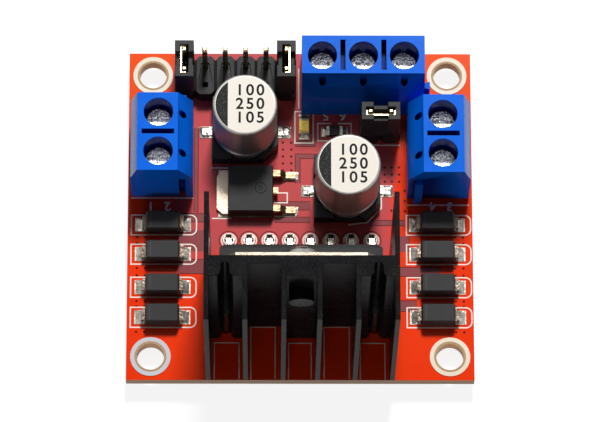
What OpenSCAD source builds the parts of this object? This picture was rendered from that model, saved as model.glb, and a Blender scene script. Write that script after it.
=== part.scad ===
// Dual motor driver module on a square board: finned heatsink and driver chip at the front,
// screw terminals on three sides, control header at the back left.
// X runs to the right, Y to the back, Z up. The origin is the centre of the four
// mounting holes on the underside of the board.

/* [Board] */
// Thickness of the board
board_t = 1.6; // [1:0.1:2.4]
// Distance of a mounting hole from each board edge
hole_inset = 3; // [2.9:0.05:3.1]
// Bore of a mounting hole
hole_d = 3.4; // [2.6:0.1:3.6]
// Outer diameter of the tinned ring round a mounting hole
ring_d = 5; // [4.6:0.1:5.2]
// Length of the pins and leads below the board
tail = 1.6; // [1.3:0.1:2.5]

/* [Layout] */
// Board edge to the wire side of a terminal block
edge_gap = 0.45; // [0:0.05:1.5]
// Left terminal to the rear capacitor base
left_cap_gap = 2.33; // [2:0.01:4]
// Rear capacitor base to the lamp
lamp_gap = 2.6; // [2:0.1:4]
// Lamp to the resistor
resistor_gap = 2.2; // [1.6:0.1:3]
// Resistor to the supply header
supply_gap = 2.1; // [1.2:0.1:3]
// Supply header to the right terminal
right_gap = 0.84; // [0.5:0.01:2]
// Left terminal to the regulator tab
reg_gap = 2.95; // [2.2:0.05:4]
// Regulator pads to the front capacitor leads
front_cap_gap = 0.9; // [0.4:0.05:1.5]
// Far row of chip leads to the front capacitor base
lead_cap_gap = 2.3; // [1.5:0.1:3.5]
// Front capacitor base to the supply header
cap_supply_gap = 2.23; // [1:0.01:3]
// Supply header to the power terminal
supply_power_gap = 1.3; // [0.6:0.1:2.5]
// Control header to the power terminal
header_gap = 0.65; // [0.3:0.05:2]
// Control header to the rear capacitor base
header_cap_gap = 0.06; // [0.04:0.02:1]
// Rear capacitor base to the regulator
reg_cap_gap = 0.9; // [0.5:0.1:2]
// Front ring to the first diode, and the diode pitches that follow
ring_diode_gap = 1.3; // [0.8:0.1:2]
// Pitch of the two front diodes
diode_pitch_1 = 3.91; // [3.2:0.01:5]
// Pitch of the two middle diodes
diode_pitch_2 = 4.32; // [3.2:0.01:5]
// Pitch of the two rear diodes
diode_pitch_3 = 3.85; // [3.2:0.01:5]
// Power terminal to the side terminals in front of it
corner_gap = 0.86; // [0.6:0.02:2]

/* [Heatsink] */
// Gap between the chip and a wing of the heatsink
wing_gap = 1.15; // [0.6:0.05:2]
// Height of the heatsink
sink_h = 25; // [23:0.5:32]
// Depth of the heatsink, front to back
sink_d = 16; // [15:0.1:18]
// Thickness of a fin
fin_t = 0.6; // [0.4:0.05:1]
// Length of the fins in front of the thin web
fin_len = 6.95; // [6:0.05:8]
// Thickness of the thin web
web_t = 1.05; // [0.8:0.05:1.4]
// Extra thickness of the boss webs at the middle and the sides
boss_t = 1.55; // [1.2:0.05:2]
// Spacing of the two middle fins
mid_fin_gap = 4.25; // [4:0.05:4.8]
// Width of a pin channel
channel_w = 1.06; // [0.8:0.02:1.2]
// Radius of the clamping screw
clamp_r = 1.5; // [1.2:0.05:1.6]

/* [Driver chip] */
// Width of the chip body
chip_w = 19.8; // [19.6:0.1:20.4]
// Height of the moulded chip body
chip_h = 10.7; // [10:0.1:11]
// Gap between the board and the chip body
chip_lift = 3.9; // [3.4:0.1:4.4]
// Thickness of the chip with its tab
chip_t = 5; // [4.6:0.1:5.2]
// Thickness of the metal tab
tab_t = 1.5; // [1.2:0.1:1.7]
// Height of the tab above the moulded body
tab_rise = 6.9; // [6.2:0.1:7.2]
// From the top of the tab down to its screw
screw_drop = 2.6; // [2.4:0.1:3.2]
// Spacing of neighbouring chip leads
lead_pitch = 1.27; // [1.27:0.01:1.3]
// Distance between the two rows of chip leads
lead_row_gap = 5.08; // [4.8:0.02:5.3]

/* [Screw terminals] */
// Spacing of the poles
pole_pitch = 5.08; // [5:0.01:5.2]
// Height of a terminal block
term_h = 10; // [10:0.1:12]
// Height of its upright walls
term_wall_h = 7; // [6.6:0.1:7.4]
// From the pole to the wire side
term_out = 3.5; // [3.3:0.05:3.7]
// From the pole to the inner side
term_in = 4.2; // [4.1:0.05:4.4]
// Length of the flat top on the wire side of the pole
top_out = 2.6; // [2.4:0.05:2.8]
// Length of the flat top on the inner side of the pole
top_in = 2.4; // [2.2:0.05:2.6]
// Diameter of a screw well
well_d = 3.64; // [3.5:0.02:3.8]
// Diameter of a clamp screw head
clamp_head_d = 3.36; // [3.1:0.02:3.4]
// Width of a wire clamp cage
cage_w = 3.9; // [3.6:0.05:4]

/* [Pin headers] */
// Spacing of the header pins
pin_pitch = 2.54; // [2.5:0.01:2.6]
// Side of a square header pin
pin_w = 0.64; // [0.56:0.02:0.68]
// Height of a header housing
header_h = 2.54; // [2:0.02:2.8]
// Height of the header pins above the board
pin_top = 8.5; // [8.1:0.1:9]
// Width of a jumper cap
cap_w = 2.35; // [2.2:0.01:2.45]
// Length of a jumper cap
cap_l = 4.8; // [4.7:0.02:5]
// Height of a jumper cap
cap_h = 6; // [5.7:0.1:6.4]

/* [Capacitors] */
// Diameter of a capacitor can
can_d = 8; // [6.3:0.1:8.2]
// Height of a capacitor above the board
can_top = 10.3; // [9:0.1:12]
// Side of the square capacitor base
base_w = 8.3; // [8.3:0.05:8.6]

/* [Regulator] */
// Length of the regulator body along X
reg_l = 5.66; // [5.4:0.02:5.9]
// Width of the regulator body along Y
reg_w = 6.18; // [6:0.02:6.6]
// Height of the regulator body
reg_h = 2.25; // [2:0.05:2.5]

/* [Diodes] */
// Length of a diode body
diode_l = 4.25; // [4:0.05:4.5]
// Width of a diode body
diode_w = 2.55; // [2.3:0.05:2.7]
// Height of a diode above its pads
diode_h = 2.15; // [1.9:0.05:2.4]

/* [Hidden] */
$fn = 48;

// A cut runs past a face by this much
cut = 0.5;
// Clearance between two pieces that slide or thread together
slide_gap = 0.04;
plating_t = 0.12;
pad_t = 0.1;
hole_clear = 0.12;
solder_h = 0.9;

// Sizes of small pieces that the layout needs
lamp_w = 1.25;
lamp_l = 2;
resistor_l = 2;
resistor_w = 1.25;
row_gap = 0.1;
block_d = term_in + term_out;
can_lead_out = base_w / 2 + 1.25;
reg_lead_out = 2.75;
reg_tab_out = 1.4;

// The board is as large as its rows of pieces and the gaps between them
middle_w = left_cap_gap + base_w + lamp_gap + lamp_w + resistor_gap + resistor_l + supply_gap
    + 2 * pin_pitch + right_gap;
board_w = middle_w + 2 * (block_d + edge_gap);
board_d = fin_len + web_t + chip_t + row_gap + lead_row_gap + lead_cap_gap + base_w
    + cap_supply_gap + pin_pitch + supply_power_gap + block_d + edge_gap;
right_edge = board_w / 2;
back_edge = board_d / 2;
front_edge = -board_d / 2;
on_pad = board_t + pad_t;
hole_x = right_edge - hole_inset;
hole_y = back_edge - hole_inset;

// Heatsink and chip planes, measured back from the fin tips at the front edge
web_front = front_edge + fin_len;
boss_front = web_front - boss_t;
web_back = web_front + web_t;
chip_front = web_back + chip_t;
wing_back = front_edge + sink_d;
chip_z = board_t + chip_lift;
chip_top = chip_z + chip_h;
tab_top = chip_top + tab_rise;
tab_corner = 2;
lead_w = 0.7;
lead_t = 0.5;
lead_y = web_back + 2.9;
near_row_y = chip_front + row_gap;
far_row_y = near_row_y + lead_row_gap;
near_leads = [for (i = [0:6]) (i - 3) * 2 * lead_pitch];
far_leads = [for (i = [0:7]) (i - 3.5) * 2 * lead_pitch];
screw_z = tab_top - screw_drop;
sink_w = chip_w + 2 * (wing_gap + fin_t);
wing_x = (sink_w - fin_t) / 2;
side_fin_x = (mid_fin_gap / 2 + wing_x) / 2;
channel_x = (side_fin_x + wing_x) / 2 + 0.08;
sink_pin_r = channel_w / 2;
sink_pin_y = web_front - 0.3;
sink_pin_top = board_t + 0.3 * sink_h;

// Diode rows, from the front ring to the back
diode_x = right_edge - edge_gap - block_d / 2 - 0.12;
front_diode_y = -hole_y + ring_d / 2 + ring_diode_gap + diode_w / 2;
diode_steps = [diode_pitch_1 + diode_pitch_2 + diode_pitch_3, diode_pitch_1 + diode_pitch_2,
    diode_pitch_1, 0];
diode_y = [for (step = diode_steps) front_diode_y + step];
diode_lead_out = 0.45;
diode_part_h = 0.4 * diode_h;
diode_lead_t = 0.2;

// Header places
header_row_y = back_edge - pin_pitch - 0.03;
power_y = back_edge - edge_gap - term_out;
middle_left = -middle_w / 2;
supply_x = middle_w / 2 - right_gap - pin_pitch;
supply_y = power_y - term_in - supply_power_gap - pin_pitch / 2;

// Terminal block places
side_term_x = right_edge - edge_gap - term_out;
side_term_y = power_y - term_in - corner_gap - pole_pitch;
header_x0 = middle_left - block_d + term_out + 3.1;
header_x = [for (i = [0:5]) header_x0 + i * pin_pitch];
power_x = header_x[5] + pin_pitch / 2 + header_gap + 1.5 * pole_pitch;

// Parts of a terminal block, in its own frame: u to the wire side, v along the poles
strip_t = 0.7;
strip_w = 2.8;
strip_pin_w = 1;
strip_back = -3.05;
strip_plate_z = 4;
floor_t = 0.5;
cage_wall = 0.55;
cage_l = 4.1;
cage_z = floor_t + strip_t + 0.1;
cage_top = 5.35;
ledge_z = cage_top + 0.1;
head_z = ledge_z + 0.45;
head_h = 0.85;
clamp_screw_r = 1.3;
top_slot_l = top_out + top_in - 1;
top_slot_w = 0.64;
test_u = -top_in - 0.57;
test_r = 0.46;
key_u = -2.9;
key_out = 0.7;

// Jumper caps
clip_t = 0.15;
clip_slot = 0.5;

// Capacitors
rear_can_at = [middle_left + left_cap_gap + base_w / 2,
    header_row_y - 1.5 * pin_pitch - header_cap_gap - base_w / 2];
front_can_y = far_row_y + lead_cap_gap + base_w / 2;
base_t = 1.15;
base_post_h = 1.9;
can_lead_t = 0.25;
can_lead_w = 0.9;
can_pad_l = 3.2;
can_lead_x = 0.145 * base_w;

// Regulator, lamp and resistor
reg_at = [middle_left + reg_gap + reg_tab_out + reg_l / 2,
    rear_can_at[1] - base_w / 2 - reg_cap_gap - reg_w / 2];
reg_lead_y = 2.3;
reg_lead_t = 0.5;
reg_lead_w = 0.8;
reg_pad_end = reg_at[0] + reg_l / 2 + reg_lead_out + 0.15;
front_can_at = [reg_pad_end + front_cap_gap + can_lead_out, front_can_y];
led_at = [rear_can_at[0] + base_w / 2 + lamp_gap + lamp_w / 2, supply_y + 0.85];
resistor_at = [led_at[0] + lamp_w / 2 + resistor_gap + resistor_l / 2, supply_y + 0.2];

// The ring of a path's offset corners: a bent strip of even thickness
function seg_normal(a, b) = let (d = (b - a) / norm(b - a)) [-d[1], d[0]];
function bisected(a, b) = let (s = a + b) s * (2 / (s * s));
function mitre(p, i) =
    i == 0 ? seg_normal(p[0], p[1])
    : i == len(p) - 1 ? seg_normal(p[i - 1], p[i])
    : bisected(seg_normal(p[i - 1], p[i]), seg_normal(p[i], p[i + 1]));
function strip_outline(p, t) = concat(
    [for (i = [0:len(p) - 1]) p[i] + mitre(p, i) * t / 2],
    [for (i = [len(p) - 1:-1:0]) p[i] - mitre(p, i) * t / 2]);

// A strip bent in the XZ plane, with its width along Y
module bent_strip_xz(path, t, w) {
    rotate([90, 0, 0]) linear_extrude(w, center = true) polygon(strip_outline(path, t));
}

// A strip bent in the YZ plane, with its width along X
module bent_strip_yz(path, t, w) {
    rotate([90, 0, 90]) linear_extrude(w, center = true) polygon(strip_outline(path, t));
}

// Side outline of a moulded block, which narrows above and below its parting line
function draft_outline(half, h, part_z, low_in, top_in) = [
    [-half + low_in, 0], [half - low_in, 0], [half, part_z],
    [half - top_in, h], [-half + top_in, h], [-half, part_z]];

module moulded_block(l, w, h, part_z, low_in, top_in) {
    intersection() {
        rotate([90, 0, 0]) linear_extrude(w, center = true)
            polygon(draft_outline(l / 2, h, part_z, low_in, top_in));
        rotate([90, 0, 90]) linear_extrude(l, center = true)
            polygon(draft_outline(w / 2, h, part_z, low_in, top_in));
    }
}

// A square pin with chamfered ends
module square_pin(w, z0, z1) {
    tip = w * 0.28;
    side = [[-w / 2 + tip, z0], [w / 2 - tip, z0], [w / 2, z0 + 2 * tip], [w / 2, z1 - 2 * tip],
        [w / 2 - tip, z1], [-w / 2 + tip, z1], [-w / 2, z1 - 2 * tip], [-w / 2, z0 + 2 * tip]];
    intersection() {
        rotate([90, 0, 0]) linear_extrude(w, center = true) polygon(side);
        rotate([90, 0, 90]) linear_extrude(w, center = true) polygon(side);
    }
}

// A block centred on X and Y
module block(x, y, z0, z1) {
    translate([-x / 2, -y / 2, z0]) cube([x, y, z1 - z0]);
}

module at_corners() {
    for (x = [-hole_x, hole_x], y = [-hole_y, hole_y]) translate([x, y, 0]) children();
}

// The pole frames: the block's own axes turned so that the wires leave the board
module at_power_block() {
    translate([power_x, power_y, 0]) rotate([0, 0, 90]) children();
}
module at_right_block() {
    translate([side_term_x, side_term_y - 0.1, 0]) children();
}
module at_left_block() {
    translate([-side_term_x, side_term_y + 0.1, 0]) rotate([0, 0, 180]) children();
}
module at_poles(count) {
    for (i = [0:count - 1]) translate([0, (i - (count - 1) / 2) * pole_pitch, 0]) children();
}
module at_every_pole() {
    at_power_block() at_poles(3) children();
    at_right_block() at_poles(2) children();
    at_left_block() at_poles(2) children();
}

module at_header_pins() {
    for (x = header_x) translate([x, header_row_y, 0]) children();
    for (x = [header_x[0], header_x[5]]) translate([x, header_row_y - pin_pitch, 0]) children();
}
module at_supply_pins() {
    for (s = [-1, 1]) translate([supply_x + s * pin_pitch / 2, supply_y, 0]) children();
}
module at_chip_leads() {
    for (x = near_leads) translate([x, near_row_y, 0]) children();
    for (x = far_leads) translate([x, far_row_y, 0]) children();
}
module at_sink_pins() {
    for (s = [-1, 1]) translate([s * channel_x, sink_pin_y, 0]) children();
}

module circuit_board() {
    color("orangered") difference() {
        block(board_w, board_d, 0, board_t);
        at_corners() translate([0, 0, -cut])
            cylinder(d = hole_d + 2 * plating_t, h = board_t + 2 * cut);
        at_every_pole() translate([0, 0, -cut])
            cylinder(d = norm([strip_pin_w, strip_t]) + 2 * hole_clear, h = board_t + 2 * cut);
        at_header_pins() translate([0, 0, -cut])
            cylinder(r = pin_w * 0.71 + hole_clear, h = board_t + 2 * cut);
        at_supply_pins() translate([0, 0, -cut])
            cylinder(r = pin_w * 0.71 + hole_clear, h = board_t + 2 * cut);
        at_chip_leads() translate([0, 0, -cut])
            cylinder(d = norm([lead_w, lead_t]) + 2 * hole_clear, h = board_t + 2 * cut);
        at_sink_pins() translate([0, 0, -cut])
            cylinder(r = sink_pin_r + hole_clear, h = board_t + 2 * cut);
    }
}

// Plated sleeve with a flat ring on both faces of the board
module mounting_rings() {
    color("lightgray") at_corners() difference() {
        union() {
            cylinder(d = hole_d + 2 * plating_t, h = board_t);
            translate([0, 0, board_t]) cylinder(d = ring_d, h = pad_t);
            translate([0, 0, -pad_t]) cylinder(d = ring_d, h = pad_t);
        }
        translate([0, 0, -cut]) cylinder(d = hole_d, h = board_t + 2 * cut);
    }
}

module pad(x, y, l, w) {
    translate([x, y, 0]) block(l, w, board_t, on_pad);
}

// Tinned pads on the top face
module surface_pads() {
    color("silver") {
        for (y = diode_y, side = [-1, 1], s = [-1, 1])
            pad(side * diode_x + s * (diode_l / 2 + 0.35), y, 2, 1.8);
        for (at = [rear_can_at, front_can_at], s = [-1, 1])
            pad(at[0] + s * (can_lead_out + 0.2 - can_pad_l / 2), at[1], can_pad_l, 1.5);
        pad(reg_at[0] - reg_tab_out / 2, reg_at[1], reg_l + reg_tab_out - 0.4, reg_w);
        for (s = [-1, 1])
            pad(reg_pad_end - 0.9, reg_at[1] + s * reg_lead_y, 1.8, 1.1);
        for (s = [-1, 1]) pad(led_at[0], led_at[1] + s * (lamp_l / 2 + 0.1), lamp_w, 1.1);
        for (s = [-1, 1])
            pad(resistor_at[0] + s * (resistor_l / 2 + 0.1), resistor_at[1], 1.1, resistor_w);
        for (x = far_leads) translate([x, far_row_y, board_t]) difference() {
            cylinder(d = 1.5, h = pad_t);
            translate([0, 0, -cut]) cylinder(d = norm([lead_w, lead_t]) + 2 * hole_clear, h = 1);
        }
    }
}

// A cone of solder round a pin, below the board
module solder_cone(pad_r, pin_x, pin_y) {
    pin_r = norm([pin_x, pin_y]) / 2 + 0.08;
    difference() {
        rotate_extrude() polygon([[0, 0], [pad_r, 0], [pad_r * 0.92, -0.12],
            [(pad_r + pin_r) / 2 - 0.08, -solder_h / 2], [pin_r, -solder_h], [0, -solder_h]]);
        block(pin_x, pin_y, -solder_h - cut, cut);
    }
}

module underside_solder() {
    color("silver") {
        at_every_pole() solder_cone(1.15, strip_t, strip_pin_w);
        at_header_pins() solder_cone(0.85, pin_w, pin_w);
        at_supply_pins() solder_cone(0.85, pin_w, pin_w);
        at_chip_leads() solder_cone(0.8, lead_w, lead_t);
        at_sink_pins() difference() {
            rotate_extrude() polygon([[0, 0], [1.3, 0], [1.2, -0.12], [0.8, -solder_h / 2],
                [sink_pin_r + 0.1, -solder_h], [0, -solder_h]]);
            translate([0, 0, -solder_h - cut]) cylinder(r = sink_pin_r, h = solder_h + 2 * cut);
        }
    }
}

// Section of the extrusion, seen from above
module sink_section() {
    fin_in = mid_fin_gap / 2;
    difference() {
        union() {
            translate([-sink_w / 2, web_front]) square([sink_w, web_t]);
            for (s = [-1, 1]) {
                translate([s * wing_x - fin_t / 2, front_edge])
                    square([fin_t, sink_d]);
                for (x = [fin_in, side_fin_x])
                    translate([s * x - fin_t / 2, front_edge]) square([fin_t, fin_len + cut]);
            }
            translate([-fin_in, boss_front]) square([mid_fin_gap, boss_t + cut]);
            for (s = [-1, 1]) mirror([s < 0 ? 1 : 0, 0])
                translate([side_fin_x, boss_front])
                    square([wing_x - side_fin_x, boss_t + cut]);
        }
        for (s = [-1, 1]) translate([s * channel_x, 0]) {
            translate([0, sink_pin_y]) circle(d = channel_w);
            translate([-channel_w / 2, boss_front - cut])
                square([channel_w, sink_pin_y - boss_front + cut]);
            polygon([[-channel_w / 2 - 0.4, boss_front - 0.01],
                [channel_w / 2 + 0.4, boss_front - 0.01],
                [channel_w / 2, boss_front + 0.45], [-channel_w / 2, boss_front + 0.45]]);
        }
    }
}

// Black extrusion with six fins, two pin channels and a tapped hole for the chip's screw
module heatsink() {
    color([0.06, 0.06, 0.07]) difference() {
        translate([0, 0, board_t]) linear_extrude(sink_h) sink_section();
        translate([0, web_back + cut, screw_z]) rotate([90, 0, 0])
            cylinder(r = clamp_r, h = web_t + boss_t + 2 * cut);
    }
}

module heatsink_pins() {
    color("silver") at_sink_pins() translate([0, 0, -tail])
        cylinder(r = sink_pin_r, h = tail + sink_pin_top);
}

// Pan head screw through the tab into the middle boss
module heatsink_screw() {
    head_y = web_back + tab_t;
    screw_end = boss_front - 1.4;
    dome_r = clamp_r + 1.1;
    dome_h = clamp_r;
    sphere_r = (dome_r * dome_r + dome_h * dome_h) / (2 * dome_h);
    color("gainsboro") translate([0, 0, screw_z]) difference() {
        union() {
            translate([0, head_y, 0]) rotate([90, 0, 0])
                cylinder(r = clamp_r, h = head_y - screw_end);
            intersection() {
                translate([0, head_y + dome_h - sphere_r, 0]) rotate([90, 0, 0])
                    sphere(r = sphere_r, $fn = 64);
                translate([0, head_y + dome_h, 0]) rotate([90, 0, 0])
                    cylinder(r = dome_r, h = dome_h);
            }
        }
        for (a = [0, 90]) rotate([0, a + 45, 0])
            translate([-1.25, head_y + dome_h - 0.8, -0.28]) cube([2.5, 1, 0.56]);
    }
}

// Moulded body of the driver chip, in front of its tab
module driver_chip_body() {
    depth = chip_t - tab_t;
    side = [[-chip_w / 2, chip_z], [chip_w / 2, chip_z], [chip_w / 2, chip_top],
        [-chip_w / 2, chip_top]];
    bevel = 0.45;
    color([0.1, 0.1, 0.11]) difference() {
        translate([0, chip_front, 0]) rotate([90, 0, 0]) linear_extrude(depth) polygon(side);
        for (s = [-1, 1]) translate([s * chip_w / 2, chip_front, chip_z - cut])
            rotate([0, 0, 45]) translate([-bevel, -bevel, 0])
                cube([2 * bevel, 2 * bevel, chip_h + 2 * cut]);
        translate([-chip_w / 2 - cut, chip_front, chip_top]) rotate([45, 0, 0])
            translate([0, -bevel, -bevel]) cube([chip_w + 2 * cut, 2 * bevel, 2 * bevel]);
        translate([-chip_w / 2 + 2, chip_front + cut, chip_z + 1.8]) rotate([90, 0, 0])
            cylinder(d = 1.4, h = cut + 0.15);
    }
}

// Metal tab behind the body, with its hole and side notches
module driver_chip_tab() {
    half = chip_w / 2;
    color("silver") translate([0, web_back + tab_t, 0]) rotate([90, 0, 0])
        linear_extrude(tab_t) difference() {
            polygon([[-half + 0.3, chip_z + 0.6], [half - 0.3, chip_z + 0.6],
                [half - 0.3, tab_top - tab_corner], [half - tab_corner, tab_top],
                [-half + tab_corner, tab_top], [-half + 0.3, tab_top - tab_corner]]);
            translate([0, screw_z]) circle(r = clamp_r + slide_gap);
            for (s = [-1, 1]) translate([s * half, screw_z]) circle(r = 1.4);
        }
}

// Two staggered rows of bent leads
module driver_chip_leads() {
    bend = chip_z - 1;
    near = [[lead_y, chip_z], [lead_y, bend - 0.2], [near_row_y, bend - 1.8],
        [near_row_y, -tail]];
    far = [[lead_y, chip_z], [lead_y, bend], [lead_y + 0.5, bend - 0.5],
        [far_row_y - 0.6, bend - 0.9], [far_row_y, bend - 1.5], [far_row_y, -tail]];
    color("silver") {
        for (x = near_leads) translate([x, 0, 0]) bent_strip_yz(near, lead_t, lead_w);
        for (x = far_leads) translate([x, 0, 0]) bent_strip_yz(far, lead_t, lead_w);
    }
}

// Drawn can with a rounded top edge and a crimped neck above its base
module capacitor_can() {
    r = can_d / 2;
    z0 = on_pad + base_t;
    top = board_t + can_top;
    edge = 0.5;
    neck_z = z0 + 1.6;
    color("lightgray") rotate_extrude($fn = 96) polygon(concat(
        [[0, z0], [r - 0.35, z0], [r - 0.1, z0 + 0.3], [r - 0.1, neck_z - 0.45],
            [r - 0.4, neck_z - 0.15], [r - 0.4, neck_z + 0.15], [r, neck_z + 0.55]],
        [for (a = [0:15:90]) [r - edge + edge * cos(a), top - edge + edge * sin(a)]],
        [[0, top]]));
}

// Moulded base with two cut corners on the +X side, corner posts and lead grooves
module capacitor_base() {
    half = base_w / 2;
    corner = 1.9;
    window_w = 0.385 * base_w;
    r_in = can_d / 2 + 0.05;
    z0 = on_pad;
    outline = [[-half, -half], [half - corner, -half], [half, -half + corner],
        [half, half - corner], [half - corner, half], [-half, half]];
    color([0.08, 0.08, 0.08]) difference() {
        translate([0, 0, z0]) linear_extrude(base_post_h) polygon(outline);
        translate([0, 0, z0 + base_t]) cylinder(r = r_in, h = base_post_h, $fn = 96);
        for (a = [0, 90]) rotate([0, 0, a])
            translate([-half - cut, -window_w / 2, z0 + base_t])
                cube([base_w + 2 * cut, window_w, base_post_h]);
        for (s = [-1, 1]) {
            translate([s * (half + 0.6) / 2, 0, 0])
                block(half - 0.5, can_lead_w + 0.1, z0 - cut, z0 + can_lead_t);
            translate([s * can_lead_x, 0, 0]) block(0.7, 0.7, z0 - cut, z0 + base_t + cut);
        }
    }
}

// Each lead comes down through the base, then runs out under it to its pad
module capacitor_leads() {
    z = on_pad + can_lead_t / 2;
    color("silver") for (s = [-1, 1]) mirror([s < 0 ? 1 : 0, 0, 0]) {
        heel = can_lead_x - 0.25;
        translate([(can_lead_out + heel) / 2, 0, 0])
            block(can_lead_out - heel, can_lead_w, on_pad, on_pad + can_lead_t);
        translate([can_lead_x, 0, 0]) block(0.5, 0.6, z, on_pad + base_t);
    }
}

module regulator_body() {
    color([0.2, 0.2, 0.21]) translate([reg_at[0], reg_at[1], on_pad + 0.5])
        difference() {
            moulded_block(reg_l, reg_w, reg_h - 0.5, 0.5, 0, 0.14);
            translate([reg_l / 2 - 1.35, 1.85, reg_h - 0.6]) cylinder(d = 0.9, h = 1);
        }
}

// Tab under the body, showing on the left with cut corners
module regulator_tab() {
    x0 = -reg_l / 2 - reg_tab_out;
    x1 = reg_l / 2 - 0.4;
    y = reg_w / 2 - 0.25;
    c = 0.7;
    color("gainsboro") translate([reg_at[0], reg_at[1], on_pad]) linear_extrude(0.5)
        polygon([[x0 + c, -y], [x1, -y], [x1, y], [x0 + c, y], [x0, y - c], [x0, -y + c]]);
}

// Two bent leads and the cut stub between them
module regulator_leads() {
    x = reg_at[0] + reg_l / 2;
    z_exit = on_pad + 0.44 * reg_h;
    z_foot = on_pad + reg_lead_t / 2;
    path = [[x, z_exit], [x + 0.27 * reg_lead_out, z_exit], [x + 0.53 * reg_lead_out, z_foot],
        [x + reg_lead_out, z_foot]];
    color("silver") {
        for (s = [-1, 1]) translate([0, reg_at[1] + s * reg_lead_y, 0])
            bent_strip_xz(path, reg_lead_t, reg_lead_w);
        translate([x + 0.3, reg_at[1], 0])
            block(0.6, reg_lead_w, z_exit - reg_lead_t / 2, z_exit + reg_lead_t / 2);
    }
}

module diode_body(x, y) {
    color([0.13, 0.13, 0.14]) translate([x, y, on_pad + 0.2])
        moulded_block(diode_l, diode_w, diode_h - 0.2, diode_part_h, 0.1, 0.16);
}

// A lead leaves each end at the parting line and folds under the body
module diode_leads(x) {
    z_exit = on_pad + 0.2 + diode_part_h;
    fold = diode_l / 2 + diode_lead_out - diode_lead_t / 2;
    z_foot = on_pad + diode_lead_t / 2;
    path = [[diode_l / 2, z_exit], [fold, z_exit], [fold, z_foot], [0.29 * diode_l, z_foot]];
    color("silver") for (y = diode_y, s = [0, 1]) translate([x, y, 0]) mirror([s, 0, 0])
        bent_strip_xz(path, diode_lead_t, 0.59 * diode_w);
}

module led_base() {
    color("wheat") translate([led_at[0], led_at[1], on_pad]) {
        block(lamp_w, lamp_l - 0.6, 0, 0.35);
        for (s = [-1, 1]) translate([0, s * (lamp_l / 2 - 0.15), 0]) block(lamp_w, 0.3, 0, 0.4);
    }
}
module led_lens() {
    color("khaki") translate([led_at[0], led_at[1], on_pad + 0.35])
        moulded_block(lamp_w - 0.05, lamp_l - 0.65, 0.45, 0.05, 0, 0.08);
}
module resistor_body() {
    color([0.1, 0.1, 0.1]) translate([resistor_at[0], resistor_at[1], on_pad])
        block(resistor_l - 0.7, resistor_w, 0.05, 0.55);
}
module resistor_ends() {
    color("silver") translate([resistor_at[0], resistor_at[1], on_pad])
        for (s = [-1, 1]) translate([s * (resistor_l / 2 - 0.175), 0, 0])
            block(0.35, resistor_w, 0, 0.6);
}

// One cell of a header housing, with cut corners at the joint to its neighbour
module header_cell(rows) {
    half_x = pin_pitch / 2;
    y0 = -pin_pitch / 2 - (rows - 1) * pin_pitch;
    y1 = pin_pitch / 2;
    c = 0.55;
    polygon([[-half_x, y0 + c], [-half_x + c, y0], [half_x - c, y0], [half_x, y0 + c],
        [half_x, y1 - c], [half_x - c, y1], [-half_x + c, y1], [-half_x, y1 - c]]);
}

module header_holes(h) {
    translate([0, 0, -cut]) linear_extrude(h + 2 * cut) square(pin_w, center = true);
    translate([0, 0, h - 0.25]) cylinder(d = 1.1, h = 1);
}

module control_header_housing() {
    groove = 0.22;
    color([0.12, 0.12, 0.12]) translate([0, header_row_y, board_t]) difference() {
        linear_extrude(header_h) for (x = header_x) translate([x, 0]) header_cell(2);
        for (x = header_x) {
            translate([x, 0, 0]) header_holes(header_h);
            translate([x, -pin_pitch, 0]) {
                translate([0, 0, -cut]) linear_extrude(header_h + 2 * cut)
                    square(pin_w, center = true);
            }
        }
        for (i = [0:4]) translate([header_x[i] + pin_pitch / 2, -pin_pitch / 2, header_h])
            rotate([0, 45, 0]) block(groove, 3 * pin_pitch, -groove / 2, groove / 2);
    }
}

module supply_header_housing() {
    color([0.12, 0.12, 0.12]) translate([supply_x, supply_y, board_t]) difference() {
        linear_extrude(header_h) for (s = [-1, 1])
            translate([s * pin_pitch / 2, 0]) header_cell(1);
        for (s = [-1, 1]) translate([s * pin_pitch / 2, 0, 0]) header_holes(header_h);
    }
}

module control_header_pins() {
    color("gold") at_header_pins() square_pin(pin_w, -tail, board_t + pin_top);
}
module supply_header_pins() {
    color("gold") at_supply_pins() square_pin(pin_w, -tail, board_t + pin_top);
}

// Jumper cap over two pins that stand along Y: slot through it, waist cut into both sides
module jumper_cap_shape() {
    waist = 1.75;
    slot_l = pin_pitch + pin_w + 2 * clip_t + 0.2;
    color([0.12, 0.12, 0.12]) translate([0, 0, board_t + header_h]) difference() {
        block(cap_w, cap_l, 0, cap_h);
        block(2 * clip_slot, slot_l, -cut, cap_h + cut);
        block(cap_w + 2 * cut, waist, cap_h - 1, cap_h + cut);
        for (s = [-1, 1]) translate([s * cap_w / 2, 0, 0]) block(0.3, waist, 1.2, cap_h + cut);
    }
}

// Spring clip: one leaf along the pins, with a hook round each end
module jumper_clip_shape() {
    leaf = pin_w / 2;
    end = pin_pitch / 2 + pin_w / 2 + 0.06;
    z0 = board_t + header_h + 0.3;
    color("goldenrod") translate([0, 0, z0]) linear_extrude(cap_h - 0.75) {
        translate([leaf, -end]) square([clip_t, 2 * end]);
        for (s = [-1, 1]) translate([leaf - 0.5, s * (end + clip_t / 2) - clip_t / 2])
            square([0.5 + clip_t, clip_t]);
    }
}

module at_left_jumper() {
    translate([header_x[0], header_row_y - pin_pitch / 2, 0]) rotate([0, 0, 180]) children();
}
module at_right_jumper() {
    translate([header_x[5], header_row_y - pin_pitch / 2, 0]) children();
}
module at_supply_jumper() {
    translate([supply_x, supply_y, 0]) rotate([0, 0, -90]) children();
}

// Section of a terminal housing: u across, z up
function term_section() = [[-term_in, 0], [term_out, 0], [term_out, term_wall_h],
    [top_out, term_h], [-top_in, term_h], [-term_in, term_wall_h]];

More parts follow.
